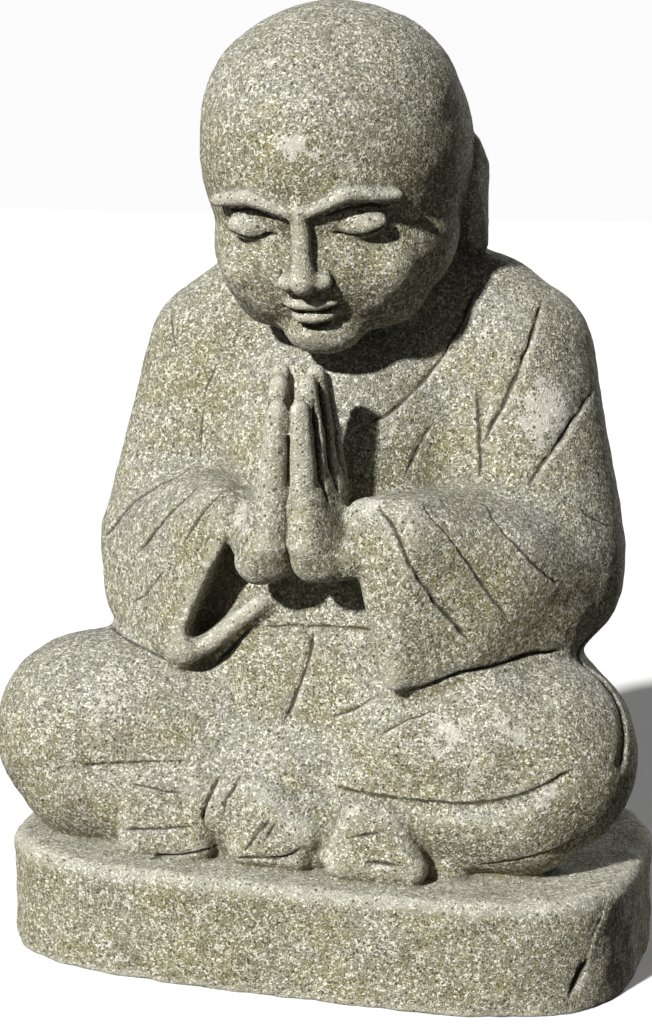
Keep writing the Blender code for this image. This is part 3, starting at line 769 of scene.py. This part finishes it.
def weather_tree():
    tree, given = shape_tree("weathered stone", **dict.fromkeys(WEAR, FLOAT), Stone=MATERIAL)
    node = partial(add, tree)
    here = node("GeometryNodeInputPosition")
    height = 0.0
    for name, size, detail in WEAR_NOISES:
        pattern = {"Vector": here, "W": given["Seed"], "Scale": 1 / (size * MM), "Detail": detail}
        noise = node("ShaderNodeTexNoise", pattern, noise_dimensions="4D")
        centred = node("ShaderNodeMath", [noise, 0.5], operation="SUBTRACT")
        height = node("ShaderNodeMath", [centred, given[name], height], operation="MULTIPLY_ADD")
    cells = tree.nodes.new("ShaderNodeTexVoronoi")
    cells.inputs["Scale"].default_value = 1 / (PIT_CELL * MM)
    chance = node("FunctionNodeSeparateColor", [cells.outputs["Color"]])
    chosen = node("ShaderNodeMath", [chance, PIT_SHARE], operation="LESS_THAN")
    bowl = [cells.outputs["Distance"], PIT_REACH, 0.0]
    bowl = node("ShaderNodeMapRange", bowl, interpolation_type="SMOOTHSTEP")
    pit = node("ShaderNodeMath", [bowl, chosen], operation="MULTIPLY")
    pit = node("ShaderNodeMath", [pit, given["Pits"]], operation="MULTIPLY")
    height = node("ShaderNodeMath", [height, pit], operation="SUBTRACT")
    up = node("ShaderNodeSeparateXYZ", [here], 2)
    slab = node("ShaderNodeMapRange", [up, 1.15 * PLINTH_HEIGHT, 0.95 * PLINTH_HEIGHT])
    broad = {"Vector": here, "W": given["Seed"], "Scale": 1 / (SLAB_SIZE * MM), "Detail": 2.0}
    broad = node("ShaderNodeTexNoise", broad, noise_dimensions="4D")
    broad = node("ShaderNodeMath", [broad, 0.55], operation="SUBTRACT")
    broad = node("ShaderNodeMath", [broad, slab], operation="MULTIPLY")
    height = node("ShaderNodeMath", [broad, given["Slab"], height], operation="MULTIPLY_ADD")
    height = node("ShaderNodeMath", [height, MM], operation="MULTIPLY")
    outwards = {"Vector": node("GeometryNodeInputNormal"), "Scale": height}
    offset = node("ShaderNodeVectorMath", outwards, operation="SCALE")
    moved = node("GeometryNodeSetPosition", {"Geometry": given["Geometry"], "Offset": offset})
    return finished(tree, moved, given["Stone"])


shaped_by(statue, weather_tree(), Stone=STONE, **WEAR)

# %% The flat underside, the place and the number of triangles


def cut_flat(obj):
    bm = bmesh.new()
    bm.from_mesh(obj.data)
    everything = bm.verts[:] + bm.edges[:] + bm.faces[:]
    ground = {"plane_co": (0, 0, 0), "plane_no": (0, 0, 1)}
    bmesh.ops.bisect_plane(bm, geom=everything, dist=1e-6, clear_inner=True, **ground)
    bmesh.ops.holes_fill(bm, edges=[e for e in bm.edges if e.is_boundary], sides=0)
    bmesh.ops.triangulate(bm, faces=bm.faces)
    bm.to_mesh(obj.data)
    bm.free()


def move_to_middle(obj):
    """The object set over the origin, and where its middle was."""
    middle = sum((Vector(c) for c in obj.bound_box), Vector()) / len(obj.bound_box)
    obj.data.transform(Matrix.Translation((-middle.x, -middle.y, 0)))
    return middle


faces = sum(len(p.vertices) - 2 for p in statue.data.polygons)
with_modifier(statue, "DECIMATE", ratio=TRIANGLES / faces)
cut_flat(statue)
middle = move_to_middle(statue)
statue.data.shade_smooth()
print("triangles:", faces, "thinned to", len(statue.data.polygons))
print("middle of the drawing in mm:", [round(v / MM, 1) for v in middle])

# %% [markdown]
# ## The stone
#
# The block is a porous grey-green volcanic stone, cut with a chisel and never polished. Its look is all
# grain: short curled veins of pale crystal, single crystals and dark pits one to three millimetres wide,
# over slow patches of grey, olive and ochre, with white crusts of lichen where rain dries last. It is
# matt, so light shows only form and grain.
#
# The colours go on like coats of paint: each has a mask, the two values of the mask between which it comes
# in, and how strongly it covers. Every pattern is made in real millimetres on Object coordinates. A few
# coats
# are painted light and shade: darker cuts and hollows, ochre and brown on faces turned down, paler grey on
# faces turned up, and stronger lichen on one sleeve.

# %% Colours


def colour(code):
    """An sRGB hex value as linear red, green, blue and alpha."""
    channels = [int(code[i : i + 2], 16) / 255 for i in (0, 2, 4)]
    return tuple(c / 12.92 if c <= 0.04045 else ((c + 0.055) / 1.055) ** 2.4 for c in channels) + (1.0,)


OLIVE = "827E67"
GREY = "8D8D83"
OCHRE = "8F844D"
MOSS = "8A8B52"
BROWN = "5F5A47"
PIT = "39352A"
CRYSTAL = "EBE8D8"
DUST = "ABA896"
LICHEN = "C6C3B8"
# The colour of the painted shade put into the chisel cuts
GROOVE_SHADE = "37332A"

# Crusts of lichen as (x, y, z, radius, strength) in millimetres above the ground
LICHEN_PATCHES = [
    (6, -110, 513, 15, 0.75),
    (44, -104, 504, 11, 0.5),
    (140, -10, 348, 27, 0.8),
    (-27, -95, 291, 13, 0.75),
    (8, -104, 378, 9, 0.7),
    (54, -92, 302, 11, 0.6),
    # These three crusts on the sleeve at the viewer's right are real, but made stronger as painted light
    # that brightens that sleeve
    (106, -100, 165, 20, 0.6),
    (141, -80, 171, 17, 0.6),
    (120, -104, 143, 15, 0.55),
    (-120, -80, 170, 24, 0.35),
    (-163, -60, 155, 22, 0.35),
    (164, -95, 132, 12, 0.5),
    (-60, 90, 400, 26, 0.5),
    (70, 100, 260, 30, 0.4),
]

# Veins of crystal are the lines along which a noise passes its middle, with loops of this size in mm
VEIN_LOOPS = 3.2
VEIN_WIDTH = 0.03

# The crystals' and veins' outlines are crumbled by so many metres, in bites of this size in mm
CRUMBLE = 0.0012
CRUMBLE_SIZE = 1.8

# A dry, rough-cut face: matt all over, with a grain about a millimetre deep
ROUGHNESS, SPECULAR = 0.9, 0.3
GRAIN_DEPTH, GRAIN_STRENGTH = 1.1, 0.9

# Crystals and pits as (cell in mm, share of the cells that hold one, its reach in cells, stretch, turn)
SCATTERS = {
    "crystals": [(2.0, 0.30, 0.33, 2.6, (1.5, 0.4, 0.9)), (4.2, 0.22, 0.24, 1.3, (0.4, 0.9, 0.2))],
    "pits": [(2.6, 0.34, 0.30, 1.3, (0.2, 0.5, 1.0)), (6.0, 0.30, 0.20, 1.2, (0.7, 0.1, 0.3))],
}

# %% The stone's material


def dress_stone(material):
    material.use_nodes = True
    tree = material.node_tree
    node = partial(add, tree)
    place = node("ShaderNodeTexCoord", out="Object")

    masks = {}
    noises = {
        "slow": (70, 3, 0.5),
        "stain": (24, 4, 0.6),
        "speckle": (9, 3, 0.6),
        "edge": (4, 3, 0.7),
        "grain": (1.1, 2, 0.7),
    }
    for name, (size, detail, rough) in noises.items():
        pattern = {"Vector": place, "Scale": 1 / (size * MM), "Detail": detail, "Roughness": rough}
        masks[name] = node("ShaderNodeTexNoise", pattern)

    crumble = {"Vector": place, "Scale": 1 / (CRUMBLE_SIZE * MM), "Detail": 1.0}
    crumble = node("ShaderNodeTexNoise", crumble, "Color")
    crumbled = {"Vector": crumble, 1: (CRUMBLE,) * 3, 2: place}
    crumbled = node("ShaderNodeVectorMath", crumbled, operation="MULTIPLY_ADD")
    for name, layers in SCATTERS.items():
        masks[name] = 0.0
        for cell, share, reach, stretch, turn in layers:
            turned = {"Vector": crumbled, "Rotation": turn, "Scale": (1.0, 1.0, stretch)}
            turned = node("ShaderNodeMapping", turned, vector_type="TEXTURE")
            cells = tree.nodes.new("ShaderNodeTexVoronoi")
            tree.links.new(turned, cells.inputs["Vector"])
            cells.inputs["Scale"].default_value = 1 / (cell * MM)
            chance = node("ShaderNodeSeparateColor", [cells.outputs["Color"]])
            crowded = node("ShaderNodeMapRange", [masks["speckle"], 0.38, 0.62, 0.5 * share, 1.5 * share])
            chosen = node("ShaderNodeMath", [chance, crowded], operation="LESS_THAN")
            grain = node("ShaderNodeMapRange", [cells.outputs["Distance"], reach, reach * 0.7])
            grain = node("ShaderNodeMath", [grain, chosen], operation="MULTIPLY")
            masks[name] = node("ShaderNodeMath", [masks[name], grain], operation="MAXIMUM")

    veins = {"Vector": crumbled, "Scale": 1 / (VEIN_LOOPS * MM), "Detail": 1.5, "Roughness": 0.6}
    veins = node("ShaderNodeSeparateColor", [node("ShaderNodeTexNoise", veins, "Color")])
    masks["veins"] = 0.0
    for channel in ("Red", "Green"):
        level = veins.node.outputs[channel]
        off = node("ShaderNodeMath", [level, 0.5], operation="SUBTRACT")
        off = node("ShaderNodeMath", [off], operation="ABSOLUTE")
        line = node("ShaderNodeMapRange", [off, VEIN_WIDTH, 0.5 * VEIN_WIDTH])
        masks["veins"] = node("ShaderNodeMath", [masks["veins"], line], operation="MAXIMUM")
    broken = node("ShaderNodeMapRange", [veins.node.outputs["Blue"], 0.48, 0.54])
    masks["veins"] = node("ShaderNodeMath", [masks["veins"], broken], operation="MULTIPLY")

    crust = 0.0
    for x, y, z, radius, strength in LICHEN_PATCHES:
        spot = tuple(v * MM for v in (x, y, z))
        away = node("ShaderNodeVectorMath", [place, spot], operation="SUBTRACT")
        away = node("ShaderNodeVectorMath", [away, (1.0, 0.4, 1.0)], operation="MULTIPLY")
        away = node("ShaderNodeVectorMath", [away], "Value", operation="LENGTH")
        inside = node("ShaderNodeMapRange", [away, radius * MM, 0.0, 0.0, strength])
        crust = node("ShaderNodeMath", [crust, inside], operation="MAXIMUM")
    crust = node("ShaderNodeMath", [masks["edge"], 1.0, crust], operation="MULTIPLY_ADD")
    crust = node("ShaderNodeMath", [masks["speckle"], 1.6, crust], operation="MULTIPLY_ADD")
    masks["crust"] = node("ShaderNodeMath", [masks["grain"], 1.0, crust], operation="MULTIPLY_ADD")

    # The 'up' mask is how far a face turns upwards, made patchy by the stain noise
    up = node("ShaderNodeSeparateXYZ", [node("ShaderNodeNewGeometry", out="Normal")], 2)
    masks["up"] = node("ShaderNodeMath", [masks["stain"], 0.8, up], operation="MULTIPLY_ADD")
    low = node("ShaderNodeSeparateXYZ", [place], 2)
    low = node("ShaderNodeMapRange", [low, 1.25 * PLINTH_HEIGHT, 1.05 * PLINTH_HEIGHT])
    masks["ledge"] = node("ShaderNodeMath", [masks["up"], low], operation="MULTIPLY")
    masks["relief"] = node("ShaderNodeAttribute", out="Fac", attribute_name="relief")
    cut = node("ShaderNodeAttribute", out="Fac", attribute_name="cut")
    masks["cut"] = node("ShaderNodeMath", [masks["grain"], 1.2, cut], operation="MULTIPLY_ADD")

    # Each coat is (mask, where it starts, where it is full, how strongly it covers, colour)
    coats = [
        ("slow", 0.42, 0.58, 0.8, GREY),
        ("stain", 0.50, 0.66, 0.55, OCHRE),
        ("speckle", 0.54, 0.66, 0.6, MOSS),
        ("stain", 0.44, 0.30, 0.45, BROWN),
        # Painted shade and light: ochre and a darker brown on faces turned down, a paler grey on faces
        # turned up
        ("up", 0.75, 0.20, 0.45, OCHRE),
        ("up", 0.45, -0.20, 0.65, BROWN),
        ("up", 0.70, 1.20, 0.55, GREY),
        ("ledge", 0.95, 1.40, 0.7, DUST),
        ("speckle", 0.46, 0.32, 0.35, BROWN),
        ("edge", 0.46, 0.32, 0.3, BROWN),
        ("edge", 0.55, 0.70, 0.25, CRYSTAL),
        ("grain", 0.48, 0.36, 0.95, PIT),
        ("grain", 0.56, 0.68, 0.45, CRYSTAL),
        ("relief", 0.15, 0.9, 0.3, CRYSTAL),
        ("crust", 2.00, 2.22, 0.75, LICHEN),
        ("veins", 0.1, 0.8, 0.82, CRYSTAL),
        ("crystals", 0.1, 0.8, 0.75, CRYSTAL),
        ("pits", 0.1, 0.8, 0.8, PIT),
        # Painted shade: the hollows are darkened with brown
        ("relief", -0.2, -1.0, 0.55, BROWN),
        # Painted shade: the chisel cuts are darkened, broken up by the grain
        ("cut", 0.95, 1.35, 0.8, GROOVE_SHADE),
    ]
    base = colour(OLIVE)
    for mask, low, high, strength, tint in coats:
        amount = node("ShaderNodeMapRange", [masks[mask], low, high, 0.0, strength])
        base = node("ShaderNodeMix", {0: amount, 6: base, 7: colour(tint)}, 2, data_type="RGBA")

    height = node("ShaderNodeMath", [masks["veins"], 0.3, masks["grain"]], operation="MULTIPLY_ADD")
    bump = {"Height": height, "Distance": GRAIN_DEPTH * MM, "Strength": GRAIN_STRENGTH}
    bump = node("ShaderNodeBump", bump)
    shader = tree.nodes["Principled BSDF"]
    tree.links.new(base, shader.inputs["Base Color"])
    tree.links.new(bump, shader.inputs["Normal"])
    shader.inputs["Roughness"].default_value = ROUGHNESS
    shader.inputs["Specular IOR Level"].default_value = SPECULAR


dress_stone(STONE)

# %% The piece takes the solid's place
statue.name = "weathered_monk"
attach(statue, "root")
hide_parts("monk_statue")

# %% [markdown]
# ## Floor, light and camera
#
# The sun stands high in front and to the left, as its shadows in the photograph show. Those shadows are
# nearly black, so the floor and the sky look pale to the camera but give the stone only a weak fill. A dim
# wide light from behind shows the back to whoever walks round. The camera stands where the photographer's
# did: 1.5 m away, a little to the statue's left and above it.

# %% Floor
FLOOR_SIZE = 12.0
bm = bmesh.new()
bmesh.ops.create_grid(bm, x_segments=1, y_segments=1, size=FLOOR_SIZE / 2)
floor = mesh_object("floor", bm)
plain = bpy.data.materials.new("pale_floor")
plain.use_nodes = True
shown = add(plain.node_tree, "ShaderNodeLightPath", out="Is Camera Ray")
shown = {0: shown, 6: colour("444442"), 7: colour("F6F6F4")}
shown = add(plain.node_tree, "ShaderNodeMix", shown, 2, data_type="RGBA")
plain.node_tree.links.new(shown, plain.node_tree.nodes["Principled BSDF"].inputs["Base Color"])
plain.node_tree.nodes["Principled BSDF"].inputs["Roughness"].default_value = 0.9
floor.data.materials.append(plain)

# %% Light
# Each as (name, the way to it, strength, spread in degrees)
SUNS = [
    ("key", (-0.314, -0.777, 0.545), 5.9, 3),
    ("from_behind", (0.25, 0.93, 0.27), 1.3, 20),
]
for name, source, energy, spread in SUNS:
    sun = bpy.data.lights.new(name, "SUN")
    sun.energy = energy
    sun.angle = math.radians(spread)
    lamp = bpy.data.objects.new(name, sun)
    lamp.rotation_euler = Vector(source).to_track_quat("Z", "Y").to_euler()
    bpy.context.scene.collection.objects.link(lamp)
world = bpy.data.worlds.new("pale_sky")
world.use_nodes = True
SKY_SEEN, SKY_FILL = 0.97, 0.06
sky = partial(add, world.node_tree)
seen_by_camera = sky("ShaderNodeLightPath", out="Is Camera Ray")
strength = sky("ShaderNodeMapRange", [seen_by_camera, 0.0, 1.0, SKY_FILL, SKY_SEEN])
world.node_tree.links.new(strength, world.node_tree.nodes["Background"].inputs["Strength"])
world.node_tree.nodes["Background"].inputs["Color"].default_value = colour("FFFFFF")
bpy.context.scene.world = world
bpy.context.scene.view_settings.view_transform = "Standard"

# %% Camera
AZIMUTH, ELEVATION, DISTANCE = math.radians(16.6), math.radians(11.5), 1.5
AIM = Vector((-0.0025, 0.0, 0.277))
# In a frame taller than it is wide, the sensor's longer side spans the height
FOCAL_PIXELS, FRAME_HEIGHT, SENSOR = 2330, 1024, 36.0
level = math.cos(ELEVATION)
back = Vector((math.sin(AZIMUTH) * level, -math.cos(AZIMUTH) * level, math.sin(ELEVATION)))
lens = bpy.data.cameras.new("camera")
lens.sensor_width = SENSOR
lens.lens = SENSOR * FOCAL_PIXELS / FRAME_HEIGHT
camera = bpy.data.objects.new("camera", lens)
camera.location = AIM + back * DISTANCE
camera.rotation_euler = back.to_track_quat("Z", "Y").to_euler()
bpy.context.scene.collection.objects.link(camera)
bpy.context.scene.camera = camera
print("lens in mm:", round(lens.lens, 1))
